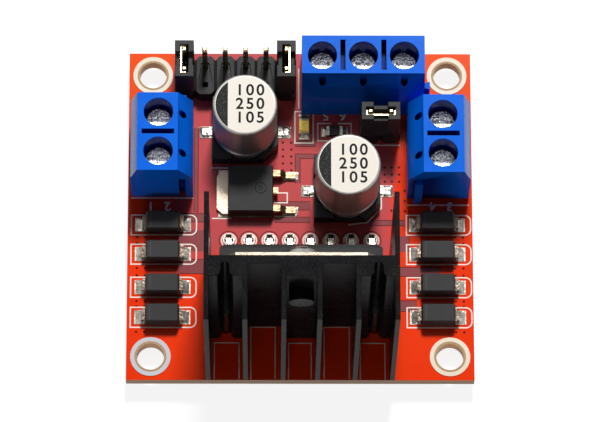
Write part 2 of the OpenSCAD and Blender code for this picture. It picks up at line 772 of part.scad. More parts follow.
// Dovetail that joins neighbouring blocks: a key on one end, a groove in the other
module dovetail(gap) {
    polygon([[key_u - 0.35 - gap, -cut], [key_u + 0.35 + gap, -cut], [key_u + 0.35 + gap, 0],
        [key_u + 0.5 + gap, key_out + gap], [key_u - 0.5 - gap, key_out + gap],
        [key_u - 0.35 - gap, 0]]);
}

module terminal_housing(count) {
    half = count * pole_pitch / 2;
    cell = cage_w + 2 * slide_gap;
    color("royalblue") translate([0, 0, board_t]) difference() {
        union() {
            rotate([90, 0, 0]) linear_extrude(2 * half, center = true) polygon(term_section());
            translate([0, -half, 0]) linear_extrude(term_wall_h) mirror([0, 1]) dovetail(0);
        }
        translate([0, half, -cut]) linear_extrude(term_wall_h - 0.5 + cut)
            mirror([0, 1]) dovetail(0.06);
        at_poles(count) {
            // Cavity for the cage, open to the wire side above a low sill
            translate([-cage_l / 2 - 0.1, -cell / 2, floor_t])
                cube([term_out - 0.6 + cage_l / 2 + 0.1, cell, ledge_z - floor_t]);
            translate([0, -cell / 2, floor_t + 0.7])
                cube([term_out + cut, cell, ledge_z - floor_t - 0.7]);
            translate([term_out, 0, (floor_t + 0.7 + ledge_z) / 2]) wire_funnel(cell);
            // Cavity for the upright leg of the contact strip, and the slot for its pin
            translate([strip_back, -strip_w / 2, floor_t])
                cube([1.2, strip_w, strip_plate_z + strip_t / 2 - floor_t]);
            block(strip_t, strip_pin_w, -cut, floor_t + cut);
            // Screw well with its ledge
            translate([0, 0, head_z]) cylinder(d = well_d, h = term_h);
            translate([0, 0, ledge_z - cut]) cylinder(r = clamp_screw_r + 0.1, h = 2);
            // Upright test hole that breaks out through the inner slope
            translate([test_u, 0, strip_plate_z + 0.9])
                cylinder(r = test_r, h = term_h, $fn = 24);
        }
        for (i = [1:count - 1]) translate([0.05, -half + i * pole_pitch, 0])
            block(top_slot_l, top_slot_w, 0.76 * term_h, term_h + cut);
    }
}

// Slanted edges round a wire entry
module wire_funnel(cell) {
    h = ledge_z - floor_t - 0.7;
    c = 0.35;
    intersection() {
        rotate([90, 0, 0]) linear_extrude(cell + 4 * c, center = true)
            polygon([[-c, -h / 2], [c, -h / 2 - 2 * c], [c, h / 2 + 2 * c], [-c, h / 2]]);
        linear_extrude(h + 4 * c, center = true)
            polygon([[-c, -cell / 2], [c, -cell / 2 - 2 * c], [c, cell / 2 + 2 * c],
                [-c, cell / 2]]);
    }
}

// Square cage that the screw pulls up against the contact strip
module clamp_cage() {
    color("gainsboro") translate([0, 0, board_t]) difference() {
        translate([-cage_l / 2, -cage_w / 2, cage_z]) cube([cage_l, cage_w, cage_top - cage_z]);
        translate([-cage_l / 2 - cut, -cage_w / 2 + cage_wall, cage_z + cage_wall])
            cube([cage_l + 2 * cut, cage_w - 2 * cage_wall,
                cage_top - cage_z - 2 * cage_wall - 0.15]);
        cylinder(r = clamp_screw_r, h = term_h);
    }
}

// Clamp screw with a cross and a slot in its head; its tip bears on the strip
module clamp_screw() {
    tip = strip_plate_z + strip_t / 2;
    color("gainsboro") translate([0, 0, board_t]) difference() {
        union() {
            translate([0, 0, tip]) cylinder(r = clamp_screw_r, h = head_z - tip);
            translate([0, 0, head_z]) cylinder(d = clamp_head_d, h = head_h - 0.2);
            translate([0, 0, head_z + head_h - 0.2])
                cylinder(d1 = clamp_head_d, d2 = clamp_head_d - 0.4, h = 0.2);
        }
        translate([0, 0, head_z + head_h - 0.45]) {
            block(clamp_head_d + 1, 0.5, 0, 1);
            block(0.5, 2, 0, 1);
        }
    }
}

// Contact strip: plate through the cage, leg down behind it, foot under it and the pin
module contact_strip() {
    foot_z = floor_t + strip_t / 2;
    plate_u = 1.8;
    leg_u = strip_back + strip_t / 2;
    path = [[strip_t / 2, foot_z], [leg_u, foot_z], [leg_u, strip_plate_z],
        [plate_u, strip_plate_z]];
    color("lightgray") translate([0, 0, board_t]) {
        bent_strip_xz(path, strip_t, strip_w);
        block(strip_t, strip_pin_w, -board_t - tail, foot_z);
    }
}

circuit_board();
mounting_rings();
surface_pads();
underside_solder();
heatsink();
heatsink_pins();
heatsink_screw();
driver_chip_body();
driver_chip_tab();
driver_chip_leads();
translate(rear_can_at) capacitor_can();  // rear_capacitor_can
translate(rear_can_at) capacitor_base();  // rear_capacitor_base
translate(rear_can_at) capacitor_leads();  // rear_capacitor_leads
translate(front_can_at) capacitor_can();  // front_capacitor_can
translate(front_can_at) capacitor_base();  // front_capacitor_base
translate(front_can_at) capacitor_leads();  // front_capacitor_leads
regulator_body();
regulator_tab();
regulator_leads();
diode_body(-diode_x, diode_y[0]);  // left_diode_1
diode_body(-diode_x, diode_y[1]);  // left_diode_2
diode_body(-diode_x, diode_y[2]);  // left_diode_3
diode_body(-diode_x, diode_y[3]);  // left_diode_4
diode_body(diode_x, diode_y[0]);  // right_diode_1
diode_body(diode_x, diode_y[1]);  // right_diode_2
diode_body(diode_x, diode_y[2]);  // right_diode_3
diode_body(diode_x, diode_y[3]);  // right_diode_4
diode_leads(-diode_x);  // left_diode_leads
diode_leads(diode_x);  // right_diode_leads
led_lens();
led_base();
resistor_body();
resistor_ends();
control_header_housing();
control_header_pins();
supply_header_housing();
supply_header_pins();
at_left_jumper() jumper_cap_shape();  // left_jumper_cap
at_right_jumper() jumper_cap_shape();  // right_jumper_cap
at_supply_jumper() jumper_cap_shape();  // supply_jumper_cap
at_left_jumper() jumper_clip_shape();  // left_jumper_clip
at_right_jumper() jumper_clip_shape();  // right_jumper_clip
at_supply_jumper() jumper_clip_shape();  // supply_jumper_clip
at_power_block() terminal_housing(3);  // power_terminal_housing
at_power_block() at_poles(3) clamp_cage();  // power_terminal_cages
at_power_block() at_poles(3) clamp_screw();  // power_terminal_screws
at_power_block() at_poles(3) contact_strip();  // power_terminal_strips
at_left_block() terminal_housing(2);  // left_terminal_housing
at_left_block() at_poles(2) clamp_cage();  // left_terminal_cages
at_left_block() at_poles(2) clamp_screw();  // left_terminal_screws
at_left_block() at_poles(2) contact_strip();  // left_terminal_strips
at_right_block() terminal_housing(2);  // right_terminal_housing
at_right_block() at_poles(2) clamp_cage();  // right_terminal_cages
at_right_block() at_poles(2) clamp_screw();  // right_terminal_screws
at_right_block() at_poles(2) contact_strip();  // right_terminal_strips
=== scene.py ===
"""Looks of a dual motor driver module: red board, black heatsink, blue screw terminals."""
import math

import bmesh
import bpy
from mathutils import Matrix, Vector, noise
from mathutils.bvhtree import BVHTree


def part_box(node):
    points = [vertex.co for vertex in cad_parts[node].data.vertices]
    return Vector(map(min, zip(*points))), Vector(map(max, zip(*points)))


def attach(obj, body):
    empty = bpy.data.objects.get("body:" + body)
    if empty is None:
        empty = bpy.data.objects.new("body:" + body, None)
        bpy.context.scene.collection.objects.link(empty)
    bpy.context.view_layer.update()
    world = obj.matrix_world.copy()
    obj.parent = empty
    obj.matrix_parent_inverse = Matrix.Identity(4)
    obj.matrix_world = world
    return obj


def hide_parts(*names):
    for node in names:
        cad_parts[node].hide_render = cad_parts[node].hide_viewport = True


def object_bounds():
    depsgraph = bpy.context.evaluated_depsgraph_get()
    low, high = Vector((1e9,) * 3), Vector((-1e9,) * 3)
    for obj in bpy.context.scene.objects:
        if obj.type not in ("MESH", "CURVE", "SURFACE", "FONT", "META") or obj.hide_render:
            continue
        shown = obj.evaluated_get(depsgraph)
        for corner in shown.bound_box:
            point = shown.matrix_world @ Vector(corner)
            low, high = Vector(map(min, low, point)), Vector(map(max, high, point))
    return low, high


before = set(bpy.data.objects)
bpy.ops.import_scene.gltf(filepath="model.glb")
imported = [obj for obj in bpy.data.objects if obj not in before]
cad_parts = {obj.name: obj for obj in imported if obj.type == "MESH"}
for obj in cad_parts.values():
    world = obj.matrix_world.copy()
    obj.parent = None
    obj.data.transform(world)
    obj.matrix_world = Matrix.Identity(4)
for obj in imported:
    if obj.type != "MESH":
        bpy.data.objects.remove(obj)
cad_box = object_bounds()
MM = 0.001

# ---------------------------------------------------------------------------------------------
# Studio: the camera looks down over the heatsink's edge at the photograph's angle. The key lamp
# hangs high behind, so the faces towards the camera are dark. A small card gives flat metal its
# sheen, and a weak lamp in front opens the shadows.
# ---------------------------------------------------------------------------------------------
CAMERA_DISTANCE = 553 * MM
CAMERA_ELEVATION = math.radians(71.18)
CAMERA_YAW = math.radians(-1.39)
CAMERA_ROLL = math.radians(1.41)
CAMERA_RISE = 1.01 * MM
SENSOR_MM = 36.0
LENS_MM = 265.1
ROOM_GREY = (0.042, 0.042, 0.046)
ROOM_WHITE = (1, 1, 1)

back = Vector((math.sin(CAMERA_YAW) * math.cos(CAMERA_ELEVATION),
               -math.cos(CAMERA_YAW) * math.cos(CAMERA_ELEVATION), math.sin(CAMERA_ELEVATION)))
level = Vector((math.cos(CAMERA_YAW), math.sin(CAMERA_YAW), 0))
up = back.cross(level)
camera_x = level * math.cos(CAMERA_ROLL) + up * math.sin(CAMERA_ROLL)
camera_y = up * math.cos(CAMERA_ROLL) - level * math.sin(CAMERA_ROLL)
lens = bpy.data.cameras.new("camera")
lens.sensor_width = SENSOR_MM
lens.lens = LENS_MM
lens.clip_start, lens.clip_end = 0.01, 20
camera = bpy.data.objects.new("camera", lens)
bpy.context.scene.collection.objects.link(camera)
camera.matrix_world = (Matrix.Translation(back * CAMERA_DISTANCE + camera_y * CAMERA_RISE)
                       @ Matrix((camera_x, camera_y, back)).transposed().to_4x4())
bpy.context.scene.camera = camera
bpy.context.scene.view_settings.view_transform = "Standard"


def lamp(name, place, aim, width, depth, power):
    """A soft rectangular lamp that hangs at a place and points at another."""
    data = bpy.data.lights.new(name, "AREA")
    data.shape, data.size, data.size_y = "RECTANGLE", width, depth
    data.energy = power
    obj = bpy.data.objects.new(name, data)
    obj.location = place
    obj.rotation_mode = "QUATERNION"
    obj.rotation_quaternion = (Vector(aim) - Vector(place)).to_track_quat("-Z", "Y")
    bpy.context.scene.collection.objects.link(obj)


lamp("key_lamp", place=(0.035, 0.30, 0.50), aim=(0, 0, 0), width=0.10, depth=0.10, power=3.45)
lamp("sheen_card", place=(0.004, 0.21, 0.585), aim=(0, 0.006, 0), width=0.056, depth=0.080,
     power=0.045)
lamp("front_fill", place=(-0.02, -0.30, 0.11), aim=(0, 0, 0.002), width=0.16, depth=0.05,
     power=0.13)


def maths(tree, operation, *given, clamp=False):
    """A sum on plain numbers or the outputs of other nodes."""
    node = tree.nodes.new("ShaderNodeMath")
    node.operation = operation
    node.use_clamp = clamp
    for socket, value in zip(node.inputs, given):
        if isinstance(value, (int, float)):
            socket.default_value = value
        else:
            tree.links.new(value, socket)
    return node.outputs[0]


def seen_rays(tree):
    """One for the rays that see the white room: straight, through glass and off a gloss."""
    rays = tree.nodes.new("ShaderNodeLightPath").outputs
    direct = maths(tree, "MAXIMUM", rays["Is Camera Ray"], rays["Is Transmission Ray"])
    return maths(tree, "MAXIMUM", direct, rays["Is Glossy Ray"])


world = bpy.data.worlds.new("studio")
world.use_nodes = True
bpy.context.scene.world = world
w = world.node_tree
w.nodes.clear()
room = w.nodes.new("ShaderNodeMixShader")
w.links.new(seen_rays(w), room.inputs[0])
for socket, colour in ((1, ROOM_GREY), (2, ROOM_WHITE)):
    light = w.nodes.new("ShaderNodeBackground")
    light.inputs["Color"].default_value = (*colour, 1)
    w.links.new(light.outputs[0], room.inputs[socket])
w.links.new(room.outputs[0], w.nodes.new("ShaderNodeOutputWorld").inputs[0])

# The table top is plain white card, seen almost burnt out, which keeps a soft shadow.
FLOOR_HALF = 1.2
FLOOR_GAP = 0.02 * MM
CARD_GREY = (0.26, 0.26, 0.27)
CARD_LIFT = 0.87
floor_z = cad_box[0].z - FLOOR_GAP
floor_mesh = bpy.data.meshes.new("table_top")
floor_mesh.from_pydata([(x * FLOOR_HALF, y * FLOOR_HALF, floor_z)
                        for x, y in ((-1, -1), (1, -1), (1, 1), (-1, 1))], [], [(0, 1, 2, 3)])
floor = bpy.data.objects.new("table_top", floor_mesh)
bpy.context.scene.collection.objects.link(floor)
card = bpy.data.materials.new("white_card")
card.use_nodes = True
paper = card.node_tree.nodes["Principled BSDF"]
paper.inputs["Base Color"].default_value = (*CARD_GREY, 1)
paper.inputs["Roughness"].default_value = 0.7
paper.inputs["Specular IOR Level"].default_value = 0.1
paper.inputs["Emission Color"].default_value = (*ROOM_WHITE, 1)
card.node_tree.links.new(maths(card.node_tree, "MULTIPLY", seen_rays(card.node_tree), CARD_LIFT),
                         paper.inputs["Emission Strength"])
floor_mesh.materials.append(card)

# ---------------------------------------------------------------------------------------------
# Board: glass-fibre laminate with copper lands under glossy red solder mask on both faces. It is
# routed to size, so the bare brown laminate shows on its edges.
# ---------------------------------------------------------------------------------------------
board_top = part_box("circuit_board")[1].z


def ramp(tree, value, start, end, smooth=False):
    """Nought where a value stands at its start and one at its end."""
    node = tree.nodes.new("ShaderNodeMapRange")
    node.interpolation_type = "SMOOTHSTEP" if smooth else "LINEAR"
    node.inputs["From Min"].default_value = start
    node.inputs["From Max"].default_value = end
    tree.links.new(value, node.inputs["Value"])
    return node.outputs["Result"]


def mixed(tree, factor, first, second):
    """Two colours, each given as three numbers or as an output, mixed by a factor."""
    mix = tree.nodes.new("ShaderNodeMix")
    mix.data_type = "RGBA"
    tree.links.new(factor, mix.inputs["Factor"])
    for socket, colour in (("A", first), ("B", second)):
        if isinstance(colour, tuple):
            mix.inputs[socket].default_value = (*colour, 1)
        else:
            tree.links.new(colour, mix.inputs[socket])
    return mix.outputs["Result"]


def grain_group():
    """Fine and broad mottling that any material can take, with a matching height and specks."""
    g = bpy.data.node_groups.new("surface_grain", "ShaderNodeTree")
    new_socket = g.interface.new_socket
    new_socket("Vector", in_out="INPUT", socket_type="NodeSocketVector")
    for name in ("Fine Scale", "Broad Scale", "Balance"):
        new_socket(name, in_out="INPUT", socket_type="NodeSocketFloat")
    for name in ("Tone", "Height", "Speck"):
        new_socket(name, in_out="OUTPUT", socket_type="NodeSocketFloat")
    n, link = g.nodes, g.links.new
    given, made = n.new("NodeGroupInput"), n.new("NodeGroupOutput")
    fine, broad = n.new("ShaderNodeTexNoise"), n.new("ShaderNodeTexNoise")
    for node, socket, detail in ((fine, "Fine Scale", 3), (broad, "Broad Scale", 2)):
        link(given.outputs["Vector"], node.inputs["Vector"])
        link(given.outputs[socket], node.inputs["Scale"])
        node.inputs["Detail"].default_value = detail
    blend = n.new("ShaderNodeMix")
    link(given.outputs["Balance"], blend.inputs["Factor"])
    link(broad.outputs["Fac"], blend.inputs["A"])
    link(fine.outputs["Fac"], blend.inputs["B"])
    link(ramp(g, blend.outputs["Result"], 0.3, 0.7), made.inputs["Tone"])
    link(fine.outputs["Fac"], made.inputs["Height"])
    link(ramp(g, fine.outputs["Fac"], 0.62, 0.7), made.inputs["Speck"])
    return g


GRAIN = grain_group()


def surface(name, colour, shade, rough, metal=0.0, fine=6000, broad=400, balance=0.5,
            rough_spread=0.08, bump=0.02, specular=0.5, speck=None):
    """A painted, moulded or plated finish: two tones, uneven gloss and a fine relief, with specks
    of a third tone where one is given. Returns the material, its shader, grain and colour."""
    m = bpy.data.materials.new(name)
    m.use_nodes = True
    n, link = m.node_tree.nodes, m.node_tree.links.new
    shader = n["Principled BSDF"]
    shader.inputs["Metallic"].default_value = metal
    shader.inputs["Specular IOR Level"].default_value = specular
    grain = n.new("ShaderNodeGroup")
    grain.node_tree = GRAIN
    link(n.new("ShaderNodeTexCoord").outputs["Object"], grain.inputs["Vector"])
    grain.inputs["Fine Scale"].default_value = fine
    grain.inputs["Broad Scale"].default_value = broad
    grain.inputs["Balance"].default_value = balance
    tint = mixed(m.node_tree, grain.outputs["Tone"], shade, colour)
    if speck:
        tint = mixed(m.node_tree, grain.outputs["Speck"], tint, speck)
    link(tint, shader.inputs["Base Color"])
    gloss = n.new("ShaderNodeMapRange")
    gloss.inputs["To Min"].default_value = max(0.02, rough - rough_spread)
    gloss.inputs["To Max"].default_value = rough + rough_spread
    link(grain.outputs["Tone"], gloss.inputs["Value"])
    link(gloss.outputs["Result"], shader.inputs["Roughness"])
    relief = n.new("ShaderNodeBump")
    relief.inputs["Distance"].default_value = bump * MM
    relief.inputs["Strength"].default_value = 1.0
    link(grain.outputs["Height"], relief.inputs["Height"])
    link(relief.outputs["Normal"], shader.inputs["Normal"])
    return m, shader, grain, tint


def dress(node, material):
    """Gives a CAD solid its material."""
    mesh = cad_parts[node].data
    mesh.materials.clear()
    mesh.materials.append(material)


def standing_faces(tree):
    """One on cut edges and the walls of bores, and how far each face looks up."""
    facing = tree.nodes.new("ShaderNodeNewGeometry")
    parts = tree.nodes.new("ShaderNodeSeparateXYZ")
    tree.links.new(facing.outputs["True Normal"], parts.inputs[0])
    lift = parts.outputs["Z"]
    return maths(tree, "LESS_THAN", maths(tree, "ABSOLUTE", lift), 0.5), lift


MASK_RED = (0.93, 0.046, 0.003)
MASK_SHADE = (0.86, 0.034, 0.002)
# The pale colour is a painted glare, laid on the up-facing middle of the board.
MASK_PAINTED_GLARE = (0.56, 0.075, 0.078)
# The warm colour is painted light: the mask turns a lighter orange towards the rear.
MASK_REAR_LIGHT = (0.93, 0.088, 0.010)
EDGE_BROWN = (0.50, 0.22, 0.075)
EDGE_CREAM = (0.70, 0.39, 0.16)
PLY_SCALE = 2400
RIPPLE_SCALE = 260
RIPPLE_SHARE = 0.004
GLARE_SIDES = (14.8 * MM, 12.6 * MM)
GLARE_FRONT = (-5.5 * MM, -1.5 * MM)
REAR_LIGHT_SPAN = (8 * MM, 21 * MM)
mask_red, shader, _, tint = surface("solder_mask", MASK_RED, MASK_SHADE, 0.15, fine=2500,
                                    broad=150, balance=0.3, rough_spread=0.03, bump=0.0015,
                                    specular=0.05)
tree = mask_red.node_tree
n, link = tree.nodes, tree.links.new
where = n.new("ShaderNodeTexCoord").outputs["Object"]
ripple = n.new("ShaderNodeTexNoise")
ripple.inputs["Scale"].default_value = RIPPLE_SCALE
link(where, ripple.inputs["Vector"])
stir = n.new("ShaderNodeMix")
stir.data_type = "VECTOR"
stir.inputs["Factor"].default_value = RIPPLE_SHARE
link(where, stir.inputs["A"])
link(ripple.outputs["Color"], stir.inputs["B"])
spot = n.new("ShaderNodeSeparateXYZ")
link(stir.outputs["Result"], spot.inputs[0])
# Painted glare: a pale patch over the middle of the board, on faces that look up.
inner = maths(tree, "MULTIPLY",
              ramp(tree, maths(tree, "ABSOLUTE", spot.outputs["X"]), *GLARE_SIDES, smooth=True),
              ramp(tree, spot.outputs["Y"], *GLARE_FRONT, smooth=True))
cut_edge, lift = standing_faces(tree)
# Painted light: the mask turns a lighter orange towards the rear, where the lamp behind falls.
rear_lit = mixed(tree, ramp(tree, spot.outputs["Y"], *REAR_LIGHT_SPAN, smooth=True), tint, MASK_REAR_LIGHT)
mask = mixed(tree, maths(tree, "MULTIPLY", lift, inner, clamp=True), rear_lit, MASK_PAINTED_GLARE)
plies = n.new("ShaderNodeTexWave")
plies.bands_direction = "Z"
plies.inputs["Scale"].default_value = PLY_SCALE
plies.inputs["Distortion"].default_value = 0.8
plies.inputs["Detail Scale"].default_value = 0.4
link(where, plies.inputs["Vector"])
laminate = mixed(tree, plies.outputs["Fac"], EDGE_BROWN, EDGE_CREAM)
link(mixed(tree, cut_edge, mask, laminate), shader.inputs["Base Color"])
dress("circuit_board", mask_red)


def add_piece(name, mesh, material, slot, *nodes, smooth=35):
    """Links a finished mesh as a piece of the object and hides the CAD solids it stands for."""
    mesh.materials.clear()
    mesh.materials.append(material)
    if smooth:
        mesh.shade_smooth()
        mesh.set_sharp_from_angle(angle=math.radians(smooth))
    obj = bpy.data.objects.new(name, mesh)
    bpy.context.scene.collection.objects.link(obj)
    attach(obj, "root")
    if nodes:
        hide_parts(*nodes)
    return obj


def mesh_of(bm, name):
    """A plain mesh of what a bmesh holds, with its faces turned outwards."""
    bmesh.ops.remove_doubles(bm, verts=bm.verts, dist=1e-7)
    bmesh.ops.recalc_face_normals(bm, faces=bm.faces)
    mesh = bpy.data.meshes.new(name)
    bm.to_mesh(mesh)
    bm.free()
    return mesh


def offset_line(points, shift, closed):
    """The points moved sideways by shift, with square corners kept square."""
    moved = []
    count = len(points)
    for k, p in enumerate(points):
        before = points[k - 1] if closed or k else None
        after = points[(k + 1) % count] if closed or k < count - 1 else None
        ways = [Vector((b[0] - a[0], b[1] - a[1])).normalized()
                for a, b in ((before, p), (p, after)) if a is not None and b is not None]
        sides = [Vector((-way.y, way.x)) for way in ways]
        mean = sum(sides, Vector((0, 0)))
        mean.normalize()
        moved.append(Vector(p) + mean * shift / max(0.35, mean.dot(sides[0])))
    return moved


def printed_line(bm, points, width, low, high, closed=False):
    """A flat line of ink or copper that follows the points, all in millimetres."""
    left, right = (offset_line(points, s * width / 2, closed) for s in (1, -1))
    count = len(points)
    rings = [[bm.verts.new((p.x * MM, p.y * MM, z)) for p, z in
              ((a, low), (a, high), (b, high), (b, low))] for a, b in zip(left, right)]
    for k in range(count if closed else count - 1):
        a, b = rings[k], rings[(k + 1) % count]
        for j in range(4):
            bm.faces.new((a[j], a[(j + 1) % 4], b[(j + 1) % 4], b[j]))
    if not closed:
        bm.faces.new(rings[0][::-1])
        bm.faces.new(rings[-1])


# Between the copper lands the laminate shows through the mask as duller, lower bands.
BAND_EDGE = 0.10
GAP_BANDS = [
    ([(-13.0, 11.5), (-13.0, 0.3)], 0.40),
    ([(-15.2, -0.4), (-12.0, -0.4)], 1.0),
    ([(-13.6, -2.0), (-13.6, -4.8)], 3.2),
    ([(-15.2, -6.8), (-12.0, -6.8)], 1.8),
    ([(-0.6, 9.45), (2.0, 9.45)], 0.65),
    ([(2.2, 7.78), (-0.3, 7.78), (-0.3, 4.2)], 0.5),
    ([(-3.1, 1.2), (1.3, 1.2)], 1.0),
    ([(-3.25, -0.65), (1.3, -0.65)], 0.6),
    ([(8.6, -1.05), (13.0, -1.05)], 0.6),
    ([(12.9, -2.8), (12.9, -4.85)], 1.3),
    ([(12.1, -7.45), (17.4, -7.45)], 1.1),
    ([(12.0, -11.9), (14.5, -11.9)], 1.3),
]
band_ink, *_ = surface("bare_laminate_band", (0.30, 0.070, 0.075), (0.26, 0.055, 0.060), 0.17,
                       fine=2500, broad=200, rough_spread=0.04, bump=0.0015, specular=0.06)
edge_ink, *_ = surface("copper_edge", (0.16, 0.012, 0.008), (0.11, 0.008, 0.006), 0.4, bump=0.002,
                       specular=0.05)
for name, grow, high, ink in (("copper_land_edges", BAND_EDGE, 0.006, edge_ink),
                              ("laminate_bands", 0.0, 0.010, band_ink)):
    bm = bmesh.new()
    for points, width in GAP_BANDS:
        printed_line(bm, points, width + 2 * grow, board_top, board_top + high * MM)
    add_piece(name, mesh_of(bm, name), ink, "board_laminate")

# ---------------------------------------------------------------------------------------------
# White screen print: outlines of the parts to be placed and the plain pole numbers beside the
# motor terminals, in epoxy ink a few hundredths thick.
# ---------------------------------------------------------------------------------------------
INK_WIDTH = 0.16
INK_HEIGHT = 0.022 * MM
ink_white, *_ = surface("screen_print_ink", (0.95, 0.86, 0.77), (0.80, 0.66, 0.58), 0.55,
                        fine=9000, broad=900, bump=0.006)
FRAME_CORNER = 0.75
FRAME_HALF = 1.3
DIODE_FRAMES = (("left", -21.04, -12.92), ("right", 13.25, 21.27))
LAMP_FRAME = (1.15, 2.1)
RESISTOR_FRAME = (0.4, 2.1, 1.16)
TERMINAL_GAP = 0.22
LOOSE_LINES = [
    [(-11.1, 6.2), (-8.4, 6.2)],
    [(-11.0, -0.48), (-8.6, -0.48)],
    [(-3.25, -0.2), (-0.6, -0.2)],
    [(-3.25, 2.9), (-1.6, 2.9), (-1.6, 1.6), (-3.25, 1.6)],
    [(7.4, 9.25), (12.5, 9.25)],
    [(-0.15, 14.1), (-0.15, 19.5)],
    [(10.15, 2.6), (10.15, 0.9), (8.35, -1.0), (6.0, -1.3)],
]
BAY_FRONT = -21.4
BAY_LINE = 0.12
FIN_BAYS = [(-10.6, -7.55, -16.7), (-6.1, -3.1, -14.7), (-1.45, 1.35, -16.75),
            (2.95, 6.05, -14.7), (7.4, 10.45, -16.75)]


def diode_frame(left, right_x, front, rear, corner):
    """The outline of a diode place, with two rounded corners at its right end."""
    turns = [k * math.pi / 12 for k in range(7)]
    return ([(left, front)]
            + [(right_x - corner + corner * math.sin(a), front + corner - corner * math.cos(a))
               for a in turns]
            + [(right_x - corner + corner * math.cos(a), rear - corner + corner * math.sin(a))
               for a in turns] + [(left, rear)])


def ink_line(bm, points, width=INK_WIDTH, closed=False):
    """A line of screen print on the board."""
    printed_line(bm, points, width, board_top, board_top + INK_HEIGHT, closed=closed)


bm = bmesh.new()
for k in (1, 2, 3, 4):
    for side_name, x0, x1 in DIODE_FRAMES:
        lo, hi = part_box(f"{side_name}_diode_{k}")
        y = (lo.y + hi.y) / 2 / MM
        ink_line(bm, diode_frame(x0, x1, y - FRAME_HALF, y + FRAME_HALF, FRAME_CORNER),
                 closed=True)
lo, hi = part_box("led_base")
x, y = (lo.x + hi.x) / 2 / MM, (lo.y + hi.y) / 2 / MM
half_x, half_y = LAMP_FRAME
ink_line(bm, [(x - half_x, y - half_y), (x + half_x, y - half_y), (x + half_x, y + half_y),
              (x - half_x, y + half_y)], closed=True)
lo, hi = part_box("resistor_ends")
x, y = (lo.x + hi.x) / 2 / MM, (lo.y + hi.y) / 2 / MM
near, far, half_y = RESISTOR_FRAME
for s in (-1, 1):
    ink_line(bm, [(x + s * near, y + half_y), (x + s * far, y + half_y),
                  (x + s * far, y - half_y), (x + s * near, y - half_y)])
for points in LOOSE_LINES:
    ink_line(bm, points)
for x0, x1, rear in FIN_BAYS:
    ink_line(bm, [(x0, BAY_FRONT), (x0, rear), (x1, rear), (x1, BAY_FRONT)], width=BAY_LINE)
for node in ("left_terminal_housing", "right_terminal_housing"):
    lo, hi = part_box(node)
    y = lo.y / MM - TERMINAL_GAP
    ink_line(bm, [(lo.x / MM, y), (hi.x / MM, y)])
add_piece("screen_print", mesh_of(bm, "screen_print"), ink_white, "board_laminate")


def number_mesh(text, height, place, turn, thick, name, bold=0.0, spacing=1.08):
    """Plain figures as a thin raised print, centred on a place."""
    curve = bpy.data.curves.new(name, "FONT")
    curve.body = text
    curve.align_x, curve.align_y = "CENTER", "CENTER"
    curve.size = height / 0.70
    curve.extrude = thick / 2
    curve.space_character = spacing
    curve.offset = bold
    obj = bpy.data.objects.new(name, curve)
    bpy.context.scene.collection.objects.link(obj)
    mesh = bpy.data.meshes.new_from_object(obj.evaluated_get(
        bpy.context.evaluated_depsgraph_get()))
    bpy.data.objects.remove(obj)
    mesh.transform(Matrix.Translation(place) @ Matrix.Rotation(turn, 4, "Z"))
    mesh.update()
    return mesh


def joined(parts, name):
    """One mesh of several."""
    bm = bmesh.new()
    for part in parts:
        bm.from_mesh(part)
        bpy.data.meshes.remove(part)
    mesh = bpy.data.meshes.new(name)
    bm.to_mesh(mesh)
    bm.free()
    return mesh


POLE_MARKS = ((-17.6, 1.15, "2 1"), (17.6, 1.15, "3 4"), (4.3, 13.2, "6 5"))
digits = [number_mesh(text, 1.15 * MM, (x * MM, y * MM, board_top + INK_HEIGHT / 2), math.pi,
                      INK_HEIGHT, "pole_digits", bold=0.035 * MM, spacing=1.5)
          for x, y, text in POLE_MARKS]
add_piece("pole_numbers", joined(digits, "pole_numbers"), ink_white, "board_laminate")

# ---------------------------------------------------------------------------------------------
# Vias: small drilled and plated holes that stitch the copper of both faces, covered by mask, so
# each shows as a small dark dot.
# ---------------------------------------------------------------------------------------------
VIA_SPOTS = ([(-2.15 + 1.05 * i, 5.9 + 0.92 * j) for i in range(2) for j in range(5)]
             + [(10.6 + 0.9 * i, 6.3 - 0.95 * j) for i in range(3) for j in range(3)]
             + [(13.1, 3.2 - 1.35 * j) for j in range(3)] + [(11.4, 0.6)]
             + [(s * (20.3 - 1.0 * i), y) for s in (-1, 1) for i in range(2)
                for y in (-2.95, -3.75, -7.0, -7.95, -11.3, -12.0, -15.3)])


def via_tree():
    """Sets a small flat cap on every point of the mesh it is given."""
    g = bpy.data.node_groups.new("via_rows", "GeometryNodeTree")
    new_socket = g.interface.new_socket
    new_socket("Points", in_out="INPUT", socket_type="NodeSocketGeometry")
    new_socket("Via Radius", in_out="INPUT", socket_type="NodeSocketFloat")
    new_socket("Via Height", in_out="INPUT", socket_type="NodeSocketFloat")
    new_socket("Finish", in_out="INPUT", socket_type="NodeSocketMaterial")
    new_socket("Vias", in_out="OUTPUT", socket_type="NodeSocketGeometry")
    n, link = g.nodes, g.links.new
    given, made = n.new("NodeGroupInput"), n.new("NodeGroupOutput")
    dot = n.new("GeometryNodeMeshCylinder")
    dot.inputs["Vertices"].default_value = 14
    link(given.outputs["Via Radius"], dot.inputs["Radius"])
    link(given.outputs["Via Height"], dot.inputs["Depth"])
    place = n.new("GeometryNodeInstanceOnPoints")
    link(given.outputs["Points"], place.inputs["Points"])
    link(dot.outputs["Mesh"], place.inputs["Instance"])
    real = n.new("GeometryNodeRealizeInstances")
    link(place.outputs["Instances"], real.inputs[0])
    paint = n.new("GeometryNodeSetMaterial")
    link(real.outputs[0], paint.inputs["Geometry"])
    link(given.outputs["Finish"], paint.inputs["Material"])
    link(paint.outputs[0], made.inputs[0])
    return g


